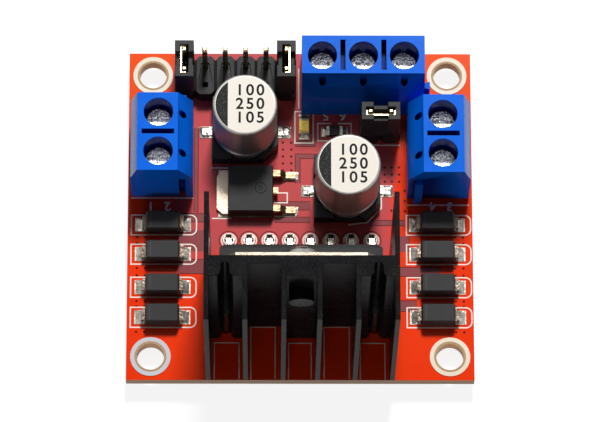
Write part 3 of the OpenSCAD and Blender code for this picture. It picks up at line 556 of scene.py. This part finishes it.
def grown(name, base, tree, material, slot, values, *nodes, smooth=35):
    """Runs a geometry tree on a base mesh and keeps the result as a plain finished piece."""
    holder = bpy.data.objects.new(name + "_base", base)
    bpy.context.scene.collection.objects.link(holder)
    mod = holder.modifiers.new("tree", "NODES")
    mod.node_group = tree
    for item in tree.interface.items_tree:
        if item.item_type == "SOCKET" and item.in_out == "INPUT" and item.name in values:
            mod[item.identifier] = values[item.name]
    mesh = bpy.data.meshes.new_from_object(holder.evaluated_get(
        bpy.context.evaluated_depsgraph_get()))
    bpy.data.objects.remove(holder)
    return add_piece(name, mesh, material, slot, *nodes, smooth=smooth)


via_dark, *_ = surface("via_mask", (0.13, 0.006, 0.005), (0.07, 0.004, 0.004), 0.4, bump=0.004,
                       specular=0.04)
spots = bpy.data.meshes.new("via_spots")
spots.from_pydata([(x * MM, y * MM, board_top) for x, y in VIA_SPOTS], [], [])
grown("vias", spots, via_tree(), via_dark, "board_laminate",
      {"Via Radius": 0.16 * MM, "Via Height": 0.024 * MM, "Finish": via_dark})

# ---------------------------------------------------------------------------------------------
# Tinned copper: the rings of the four mounting holes and the pads that the small parts sit on.
# Hot-air levelled, so bright, a little wavy and cream where flux stayed.
# ---------------------------------------------------------------------------------------------
RING_SILVER = (0.58, 0.60, 0.64)
BORE_GOLD = (0.85, 0.46, 0.13)
DULL_CORNER = (-25 * MM, -34 * MM)
tin_pad, *_ = surface("tinned_pads", (0.62, 0.58, 0.50), (0.26, 0.23, 0.18), 0.24, metal=0.3,
                      fine=2400, broad=900, rough_spread=0.06, bump=0.03, specular=0.1)
dress("surface_pads", tin_pad)
ring_tin, shader, _, tint = surface("ring_plating", (0.92, 0.84, 0.68), (0.80, 0.70, 0.52), 0.42,
                                    fine=2500, broad=260, balance=0.3, bump=0.01, specular=0.2)
tree = ring_tin.node_tree
diagonal = tree.nodes.new("ShaderNodeVectorMath")
diagonal.operation = "DOT_PRODUCT"
diagonal.inputs[1].default_value = (1, 1, 0)
tree.links.new(tree.nodes.new("ShaderNodeTexCoord").outputs["Object"], diagonal.inputs[0])
plating = mixed(tree, ramp(tree, diagonal.outputs["Value"], *DULL_CORNER), tint, RING_SILVER)
tree.links.new(mixed(tree, standing_faces(tree)[0], plating, BORE_GOLD),
               shader.inputs["Base Color"])
dress("mounting_rings", ring_tin)


def ring_points(x, y, radius, steps):
    """Points round a circle."""
    turns = [k * math.tau / steps for k in range(steps)]
    return [(x + radius * math.cos(turn), y + radius * math.sin(turn)) for turn in turns]


# Round each bore the drill left a narrow golden-brown lip of laminate and thin plating.
LIP_WIDTH, LIP_HEIGHT = 0.28, 0.006 * MM
HOLE_RADIUS, RING_RADIUS = 1.70, 2.50
lip_brown, *_ = surface("bore_lip", (0.52, 0.33, 0.15), (0.36, 0.20, 0.08), 0.45, fine=5000,
                        broad=900, bump=0.006, specular=0.2)
ring_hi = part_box("mounting_rings")[1]
bm = bmesh.new()
for sx in (-1, 1):
    for sy in (-1, 1):
        lip = ring_points(sx * (ring_hi.x / MM - RING_RADIUS), sy * (ring_hi.y / MM - RING_RADIUS),
                          HOLE_RADIUS + LIP_WIDTH / 2, 48)
        printed_line(bm, lip, LIP_WIDTH - 0.02, ring_hi.z, ring_hi.z + LIP_HEIGHT, closed=True)
add_piece("bore_lips", mesh_of(bm, "bore_lips"), lip_brown, "tinned_copper")

# ---------------------------------------------------------------------------------------------
# Solder: the joints on the underside, and the fillets of the small parts. Each part stands in
# solder that has run up its lead and over its pad, never twice alike.
# ---------------------------------------------------------------------------------------------
solder, *_ = surface("solder", (0.58, 0.55, 0.49), (0.14, 0.11, 0.08), 0.20, metal=0.6,
                     fine=2600, broad=1500, rough_spread=0.05, bump=0.05,
                     speck=(0.9, 0.88, 0.84))
dress("underside_solder", solder)


def solder_fillet(bm, centre, size, height, toward, seed):
    """A hill of solder on a pad, highest at the side towards the part."""
    steps = 9
    top = []
    for j in range(steps):
        row = []
        for i in range(steps):
            u, v = i / (steps - 1) * 2 - 1, j / (steps - 1) * 2 - 1
            edge = (1 - u ** 4) * (1 - v ** 4)
            along = (u * toward[0] + v * toward[1] + 1) / 2
            wave = noise.noise(Vector((u * 2.2 + seed * 5.1, v * 2.2, seed)))
            z = (0.10 + 0.9 * along ** 1.6) * height * (1 + 0.55 * wave) * edge ** 0.6
            pull = 1 + 0.10 * noise.noise(Vector((v * 3, seed, 1)))
            row.append(bm.verts.new((centre[0] + u * size[0] / 2 * pull,
                                     centre[1] + v * size[1] / 2,
                                     centre[2] + max(z, 0.0))))
        top.append(row)
    for j in range(steps - 1):
        for i in range(steps - 1):
            bm.faces.new((top[j][i], top[j][i + 1], top[j + 1][i + 1], top[j + 1][i]))
    rim = (top[0] + [row[-1] for row in top[1:]] + top[-1][-2::-1]
           + [row[0] for row in top[-2:0:-1]])
    low = [bm.verts.new((p.co.x, p.co.y, centre[2] - 0.04 * MM)) for p in rim]
    count = len(rim)
    for k in range(count):
        bm.faces.new((rim[k], low[k], low[(k + 1) % count], rim[(k + 1) % count]))
    bm.faces.new(low)


# Part, the axis its two ends lie on, how far past each end, size over the pad, and height.
FILLETS = ([(f"{side_name}_diode_{k}", 0, 0.55, (1.25, 1.72), 0.55)
            for side_name in ("left", "right") for k in (1, 2, 3, 4)]
           + [("rear_capacitor_leads", 0, -0.25, (1.15, 1.45), 0.42),
              ("front_capacitor_leads", 0, -0.25, (1.15, 1.45), 0.42),
              ("led_base", 1, 0.22, (1.2, 0.62), 0.34),
              ("resistor_ends", 0, 0.22, (0.62, 1.2), 0.34)])
FOOT_INSET, FOOT_LENGTH, FOOT_WIDTH, FOOT_HEIGHT = 0.45, 1.35, 1.0, 0.34
pad_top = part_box("surface_pads")[1].z
bm = bmesh.new()
seed = 1
for node, axis, past, size, height in FILLETS:
    lo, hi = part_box(node)
    for s, end in ((-1, lo), (1, hi)):
        seed += 1
        centre = [(lo.x + hi.x) / 2, (lo.y + hi.y) / 2, pad_top]
        centre[axis] = end[axis] + s * past * MM
        toward = [0, 0]
        toward[axis] = -s
        solder_fillet(bm, centre, [side * MM for side in size], height * MM, toward, seed)
lo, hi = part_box("regulator_leads")
for y in (lo.y + FOOT_INSET * MM, hi.y - FOOT_INSET * MM):
    seed += 1
    solder_fillet(bm, (hi.x - 0.35 * MM, y, pad_top), (FOOT_LENGTH * MM, FOOT_WIDTH * MM),
                  FOOT_HEIGHT * MM, (-1, 0), seed)
add_piece("solder_fillets", mesh_of(bm, "solder_fillets"), solder, "solder", smooth=60)

# ---------------------------------------------------------------------------------------------
# Heatsink: an aluminium extrusion sawn to length and anodised black. Two steel pins are pressed
# into its channels and hold it to the board.
# ---------------------------------------------------------------------------------------------


def softened(node, name, width, material, slot, angle=32):
    """A merged copy of a CAD solid with its sharp edges eased, which stands for that solid."""
    bm = bmesh.new()
    bm.from_mesh(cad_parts[node].data)
    twins = {}
    for face in bm.faces:
        corners = frozenset(tuple(round(c * 1e6) for c in v.co) for v in face.verts)
        twins.setdefault(corners, []).append(face)
    inner = [face for same in twins.values() if len(same) > 1 for face in same]
    bmesh.ops.delete(bm, geom=inner, context="FACES_ONLY")
    bmesh.ops.remove_doubles(bm, verts=bm.verts, dist=1e-6)
    bmesh.ops.dissolve_limit(bm, angle_limit=math.radians(0.5), verts=bm.verts, edges=bm.edges)
    bm.normal_update()
    bmesh.ops.triangulate(bm, faces=[f for f in bm.faces if len(f.verts) > 4])
    bm.verts.index_update()
    plain = bpy.data.meshes.new(name)
    plain.from_pydata([v.co[:] for v in bm.verts], [],
                      [[v.index for v in f.verts] for f in bm.faces])
    bm.free()
    plain.shade_smooth()
    plain.set_sharp_from_angle(angle=math.radians(angle))
    holder = bpy.data.objects.new(name + "_base", plain)
    bpy.context.scene.collection.objects.link(holder)
    mod = holder.modifiers.new("eased_edges", "BEVEL")
    mod.width = width * MM
    mod.segments = 2
    mod.limit_method = "ANGLE"
    mod.angle_limit = math.radians(angle)
    mod.miter_outer = "MITER_ARC"
    mod.harden_normals = True
    mesh = bpy.data.meshes.new_from_object(holder.evaluated_get(
        bpy.context.evaluated_depsgraph_get()))
    bpy.data.objects.remove(holder)
    return add_piece(name, mesh, material, slot, node, smooth=None)


anodised, shader, *_ = surface("black_anodising", (0.014, 0.014, 0.015), (0.003, 0.003, 0.004),
                               0.26, fine=7000, broad=500, balance=0.6, bump=0.005,
                               speck=(0.05, 0.05, 0.054))
shader.inputs["IOR"].default_value = 1.08
softened("heatsink", "heatsink_extrusion", 0.05, anodised, "anodised_aluminium", angle=45)
pin_steel, *_ = surface("sink_pin_steel", (0.20, 0.20, 0.20), (0.10, 0.10, 0.10), 0.3, metal=1.0,
                        bump=0.01)
dress("heatsink_pins", pin_steel)
# The screw's shank, in the heatsink's bay, is painted black and dull: painted shade and a painted
# reflection of the black heatsink. Only the head shows the nickel.
SHANK_PAINTED_SHADE = (0.012, 0.012, 0.013)
screw_nickel, shader, _, tint = surface("screw_nickel", (0.50, 0.49, 0.46), (0.20, 0.19, 0.17),
                                        0.25, fine=4000, broad=1200, bump=0.03, specular=0.03)
tree = screw_nickel.node_tree
along = tree.nodes.new("ShaderNodeSeparateXYZ")
tree.links.new(tree.nodes.new("ShaderNodeTexCoord").outputs["Object"], along.inputs[0])
head = maths(tree, "GREATER_THAN", along.outputs["Y"],
             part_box("driver_chip_tab")[1].y - 0.05 * MM)
tree.links.new(mixed(tree, head, SHANK_PAINTED_SHADE, tint), shader.inputs["Base Color"])
tree.links.new(head, shader.inputs["Metallic"])
dress("heatsink_screw", screw_nickel)

# ---------------------------------------------------------------------------------------------
# Driver chip: a moulded power package with a tinned copper tab, screwed upright to the heatsink,
# with fifteen leads bent into two rows of plated holes.
# ---------------------------------------------------------------------------------------------
mould, *_ = surface("moulding_compound", (0.034, 0.033, 0.033), (0.019, 0.019, 0.019), 0.50,
                    fine=7000, broad=600, balance=0.6, bump=0.012, specular=0.12)
softened("driver_chip_body", "driver_chip_moulding", 0.12, mould, "chip_plastic")
tab_tin, *_ = surface("tab_plating", (0.50, 0.44, 0.365), (0.30, 0.23, 0.16), 0.30, metal=0.45,
                      fine=4000, broad=450, balance=0.35, bump=0.02, specular=0.2)
dress("driver_chip_tab", tab_tin)
lead_tin, *_ = surface("lead_plating", (0.33, 0.31, 0.28), (0.09, 0.078, 0.064), 0.24, metal=0.9,
                       fine=3200, broad=1800, rough_spread=0.05, bump=0.04)
dress("driver_chip_leads", lead_tin)

# Where the outer lead row passes the board, each land has a white print ring and a dark edge.
OUTER_PITCH = 2.54
ROW_INSET = 0.3
RING_LINES = (("lead_rings", ink_white, 0.92, 0.15, INK_HEIGHT),
              ("lead_land_edges", edge_ink, 1.20, 0.11, 0.008 * MM))
row_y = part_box("driver_chip_leads")[1].y / MM - ROW_INSET
for name, ink, radius, width, height in RING_LINES:
    bm = bmesh.new()
    for k in range(8):
        printed_line(bm, ring_points((k - 3.5) * OUTER_PITCH, row_y, radius, 24), width, board_top,
                     board_top + height, closed=True)
    add_piece(name, mesh_of(bm, name), ink, "board_laminate")

# ---------------------------------------------------------------------------------------------
# Capacitors: drawn aluminium cans, crimped near the base over a rubber seal, on black plastic
# stands. The top carries a printed dark segment for the negative side and plain value figures.
# ---------------------------------------------------------------------------------------------


def lathe(profile, centre, steps, name):
    """A closed round solid turned about a vertical line from radius and height pairs."""
    bm = bmesh.new()
    rings = []
    for r, z in profile:
        if r < 1e-9:
            rings.append([bm.verts.new((centre[0], centre[1], z))])
        else:
            rings.append([bm.verts.new((centre[0] + r * math.cos(k * math.tau / steps),
                                        centre[1] + r * math.sin(k * math.tau / steps), z))
                          for k in range(steps)])
    for a, b in zip(rings, rings[1:]):
        for k in range(steps):
            j = (k + 1) % steps
            corners = [a[k % len(a)], a[j % len(a)], b[j % len(b)], b[k % len(b)]]
            bm.faces.new(list(dict.fromkeys(corners)))
    return mesh_of(bm, name)


CAN_GRAIN = (1800, 1800, 25)
can_metal, _, grain, _ = surface("can_aluminium", (0.445, 0.425, 0.395), (0.30, 0.285, 0.26),
                                 0.42, metal=0.66, fine=1, broad=0.3, balance=0.4, bump=0.0006)
n, link = can_metal.node_tree.nodes, can_metal.node_tree.links.new
stretch = n.new("ShaderNodeMapping")
stretch.inputs["Scale"].default_value = CAN_GRAIN
link(n.new("ShaderNodeTexCoord").outputs["Object"], stretch.inputs["Vector"])
link(stretch.outputs["Vector"], grain.inputs["Vector"])
can_white, *_ = surface("can_top_lacquer", (0.95, 0.89, 0.80), (0.89, 0.82, 0.73), 0.45, fine=9000,
                        broad=900, balance=0.7, bump=0.004, specular=0.12)
segment_black, *_ = surface("segment_print", (0.008, 0.008, 0.010), (0.030, 0.030, 0.032), 0.55,
                            fine=9000, broad=2500, balance=0.8, bump=0.006, specular=0.06,
                            speck=(0.30, 0.29, 0.27))
print_black, *_ = surface("figure_print", (0.006, 0.006, 0.007), (0.014, 0.014, 0.014), 0.5,
                          bump=0.003, specular=0.06)
PRINT_THICK = 0.012 * MM
CHORD_SHARE = 0.235
TOP_ROUND = 0.34 * MM
FOOT_ROUND = 0.35 * MM
CRIMP_HEIGHT = 1.5 * MM
CRIMP_HALF = 0.45 * MM
CRIMP_DEPTH = 0.30 * MM
FACE_SINK = 0.06 * MM
FACE_STEP = 0.015 * MM
FIGURE_HEIGHT = 1.42 * MM
FIGURE_SHIFT = 0.62 * MM
FIGURE_LINES = (("100", 1.85), ("250", 0.05), ("105", -1.75))
for which in ("rear", "front"):
    lo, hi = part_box(f"{which}_capacitor_can")
    cx, cy = (lo.x + hi.x) / 2, (lo.y + hi.y) / 2
    r = (hi.x - lo.x) / 2
    neck = lo.z + CRIMP_HEIGHT
    shoulder = hi.z - TOP_ROUND - 0.05 * MM
    rim = r - TOP_ROUND - 0.02 * MM
    profile = [(0, lo.z), (r - FOOT_ROUND, lo.z), (r, lo.z + 0.3 * MM), (r, neck - 0.55 * MM)]
    profile += [(r - CRIMP_DEPTH * math.sin(a * math.pi / 8),
                 neck - CRIMP_HALF + 2 * CRIMP_HALF * a / 8) for a in range(9)]
    profile += [(r, neck + 0.55 * MM)]
    profile += [(r - TOP_ROUND + TOP_ROUND * math.cos(a * math.pi / 16),
                 shoulder + TOP_ROUND * math.sin(a * math.pi / 16)) for a in range(9)]
    profile += [(rim, hi.z - 0.05 * MM), (rim - 0.04 * MM, hi.z - FACE_SINK),
                (0, hi.z - FACE_SINK)]
    add_piece(f"{which}_can_shell", lathe(profile, (cx, cy), 96, "can"), can_metal,
              "can_aluminium", f"{which}_capacitor_can", smooth=50)
    face_r = r - 0.32 * MM
    cap_z = hi.z - FACE_SINK + FACE_STEP
    face = lathe([(0, cap_z - FACE_STEP), (face_r, cap_z - FACE_STEP), (face_r, cap_z),
                  (0, cap_z)], (cx, cy), 96, "can_face")
    add_piece(f"{which}_can_face", face, can_white, "can_aluminium")
    chord_x = -r + 2 * r * CHORD_SHARE
    seg_r = face_r - 0.04 * MM
    half = math.acos(-chord_x / seg_r)
    arc = [(cx + seg_r * math.cos(math.pi + half * (2 * k / 32 - 1)),
            cy + seg_r * math.sin(math.pi + half * (2 * k / 32 - 1))) for k in range(33)]
    bm = bmesh.new()
    low = [bm.verts.new((x, y, cap_z)) for x, y in arc]
    high = [bm.verts.new((x, y, cap_z + PRINT_THICK)) for x, y in arc]
    bm.faces.new(low[::-1])
    bm.faces.new(high)
    for k in range(33):
        j = (k + 1) % 33
        bm.faces.new((low[k], low[j], high[j], high[k]))
    add_piece(f"{which}_can_segment", mesh_of(bm, "segment"), segment_black, "can_aluminium")
    lines = [number_mesh(text, FIGURE_HEIGHT,
                         (cx + FIGURE_SHIFT, cy + y * MM, cap_z + PRINT_THICK / 2), 0,
                         PRINT_THICK, "figures", bold=0.04 * MM, spacing=1.26)
             for text, y in FIGURE_LINES]
    add_piece(f"{which}_can_figures", joined(lines, "figures"), print_black, "can_aluminium")

stand_black, *_ = surface("stand_plastic", (0.012, 0.012, 0.012), (0.005, 0.005, 0.005), 0.42,
                          fine=6000, broad=500, bump=0.015, specular=0.15)
for which in ("rear", "front"):
    softened(f"{which}_capacitor_base", f"{which}_can_stand", 0.08, stand_black, "black_plastic")
    dress(f"{which}_capacitor_leads", lead_tin)

# ---------------------------------------------------------------------------------------------
# Regulator, diodes, lamp and resistor: moulded surface-mount parts with tinned leads, set on the
# pads and soldered. The regulator's matt top carries a round ejector mark, each diode a band.
# ---------------------------------------------------------------------------------------------
MARK_HEIGHT = 0.008 * MM
softened("regulator_body", "regulator_moulding", 0.10, mould, "chip_plastic")
mark_grey, *_ = surface("moulded_mark", (0.006, 0.006, 0.006), (0.003, 0.003, 0.003), 0.4,
                        bump=0.004, specular=0.04)
lo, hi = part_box("regulator_body")
bm = bmesh.new()
for mark_r in (0.68, 0.24):
    printed_line(bm, ring_points((lo.x + 0.72 * (hi.x - lo.x)) / MM,
                                 (lo.y + 0.50 * (hi.y - lo.y)) / MM, mark_r, 32),
                 0.11, hi.z, hi.z + MARK_HEIGHT, closed=True)
add_piece("regulator_ejector_mark", mesh_of(bm, "ejector_mark"), mark_grey, "chip_plastic")
dress("regulator_tab", tab_tin)
gold_tin, *_ = surface("warm_lead_plating", (0.38, 0.285, 0.165), (0.085, 0.05, 0.022), 0.34,
                       metal=0.9, fine=2800, broad=1800, rough_spread=0.05, bump=0.04)
dress("regulator_leads", gold_tin)
# The diode leads are tinned, but painted a dark brown: painted shade of the diode bodies and a
# painted dark reflection.
diode_lead_shade, *_ = surface("diode_strip", (0.15, 0.105, 0.07), (0.03, 0.019, 0.012), 0.22, metal=0.6,
                        fine=3200, broad=1800, rough_spread=0.06, bump=0.04)
band_grey, *_ = surface("polarity_band", (0.070, 0.068, 0.066), (0.040, 0.040, 0.040), 0.5,
                        fine=9000, bump=0.004, specular=0.1)
bm = bmesh.new()
for side_name in ("left", "right"):
    for k in (1, 2, 3, 4):
        softened(f"{side_name}_diode_{k}", f"{side_name}_diode_moulding_{k}", 0.09, mould,
                 "chip_plastic")
        lo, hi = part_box(f"{side_name}_diode_{k}")
        x = lo.x / MM + 0.62
        printed_line(bm, [(x, lo.y / MM + 0.34), (x, hi.y / MM - 0.34)], 0.16, hi.z,
                     hi.z + MARK_HEIGHT)
    dress(f"{side_name}_diode_leads", diode_lead_shade)
add_piece("diode_bands", mesh_of(bm, "diode_bands"), band_grey, "chip_plastic")
lens_gold, shader, *_ = surface("lamp_resin", (1.0, 0.84, 0.24), (0.80, 0.52, 0.03), 0.2,
                                fine=4600, broad=2600, balance=0.6, bump=0.05, specular=0.3,
                                speck=(1.0, 0.95, 0.72))
# The resin's faint yellow glow is painted light: the lamp is not lit.
shader.inputs["Emission Color"].default_value = (1.0, 0.72, 0.12, 1)
shader.inputs["Emission Strength"].default_value = 0.22
softened("led_lens", "led_resin_block", 0.06, lens_gold, "led_resin")
led_cream, *_ = surface("lamp_base", (0.86, 0.80, 0.60), (0.70, 0.58, 0.30), 0.5, bump=0.01)
dress("led_base", led_cream)
glaze, *_ = surface("resistor_glaze", (0.012, 0.012, 0.013), (0.005, 0.005, 0.006), 0.22,
                    bump=0.01, specular=0.12)
softened("resistor_body", "resistor_chip", 0.04, glaze, "resistor_glaze")
dress("resistor_ends", lead_tin)

# ---------------------------------------------------------------------------------------------
# Pin headers and jumper caps: square gold-flashed pins in black glass-filled housings, and push-on
# caps whose bronze clips show through the window on top.
# ---------------------------------------------------------------------------------------------
header_black, *_ = surface("header_plastic", (0.020, 0.020, 0.021), (0.010, 0.010, 0.011), 0.42,
                           fine=7000, broad=700, balance=0.6, bump=0.01, specular=0.10)
softened("control_header_housing", "control_header_block", 0.05, header_black, "black_plastic",
         angle=40)
softened("supply_header_housing", "supply_header_block", 0.05, header_black, "black_plastic",
         angle=40)
gold, *_ = surface("gold_flash", (0.86, 0.74, 0.48), (0.36, 0.26, 0.12), 0.22, metal=0.95,
                   fine=4000, broad=1200, bump=0.01)
dress("control_header_pins", gold)
dress("supply_header_pins", gold)
cap_black, *_ = surface("jumper_plastic", (0.036, 0.036, 0.036), (0.012, 0.012, 0.012), 0.45,
                        fine=9000, broad=900, balance=0.7, bump=0.012, specular=0.12,
                        speck=(0.09, 0.09, 0.09))
clip_bronze, *_ = surface("clip_bronze", (0.90, 0.78, 0.52), (0.66, 0.50, 0.26), 0.25, metal=1.0,
                          bump=0.01)
for which in ("left", "right", "supply"):
    softened(f"{which}_jumper_cap", f"{which}_jumper_shell", 0.07, cap_black, "black_plastic")
    dress(f"{which}_jumper_clip", clip_bronze)

# ---------------------------------------------------------------------------------------------
# Screw terminals: glossy blue nylon blocks keyed side by side, soldered through the board. Plated
# steel screws press each wire into a cage, under the bent tinned strip that carries the current.
# ---------------------------------------------------------------------------------------------
# The wells of the terminals get painted shade: where the moulding is shut in, its blue turns navy.
WELL_PAINTED_SHADE = (0.0, 0.024, 0.22)
nylon_blue, shader, _, tint = surface("blue_nylon", (0.001, 0.150, 0.82), (0.001, 0.130, 0.74),
                                      0.18, fine=2500, broad=250, balance=0.4, rough_spread=0.03,
                                      bump=0.001, specular=0.04)
deep = nylon_blue.node_tree
shut = deep.nodes.new("ShaderNodeAttribute")
shut.attribute_name = "painted_recess_shade"
deep.links.new(mixed(deep, ramp(deep, shut.outputs["Fac"], 0.15, 0.80), tint, WELL_PAINTED_SHADE),
               shader.inputs["Base Color"])


def paint_recess_shade(piece, reach, count=40):
    """Stores how shut in each point of a moulding is: painted shade for the walls of its wells."""
    mesh = piece.data
    tree = BVHTree.FromPolygons([v.co[:] for v in mesh.vertices],
                                [p.vertices[:] for p in mesh.polygons])
    ways = []
    for k in range(count):
        z = 1 - 2 * (k + 0.5) / count
        turn = k * 2.399963
        flat = math.sqrt(1 - z * z)
        ways.append(Vector((flat * math.cos(turn), flat * math.sin(turn), z)))
    shut_in = mesh.attributes.new("painted_recess_shade", "FLOAT", "POINT")
    for v in mesh.vertices:
        open_ways = [way for way in ways if way.dot(v.normal) > 0.15]
        start = v.co + v.normal * 0.06 * MM
        hits = sum(tree.ray_cast(start, way, reach)[0] is not None for way in open_ways)
        shut_in.data[v.index].value = hits / max(1, len(open_ways))


# The white specks on the terminal screws are painted glints.
screw_zinc, *_ = surface("screw_zinc", (0.95, 0.96, 1.0), (0.05, 0.06, 0.09), 0.22, metal=0.8,
                         fine=3800, broad=3000, balance=0.95, rough_spread=0.12, bump=0.05,
                         speck=(1.0, 1.0, 1.0))
cage_zinc, *_ = surface("cage_zinc", (0.74, 0.75, 0.78), (0.48, 0.49, 0.51), 0.3, metal=1.0,
                        bump=0.02)
for which in ("power", "left", "right"):
    block = softened(f"{which}_terminal_housing", f"{which}_terminal_block", 0.04, nylon_blue,
                     "blue_plastic", angle=40)
    paint_recess_shade(block, 6 * MM)
    dress(f"{which}_terminal_screws", screw_zinc)
    dress(f"{which}_terminal_cages", cage_zinc)
    dress(f"{which}_terminal_strips", lead_tin)
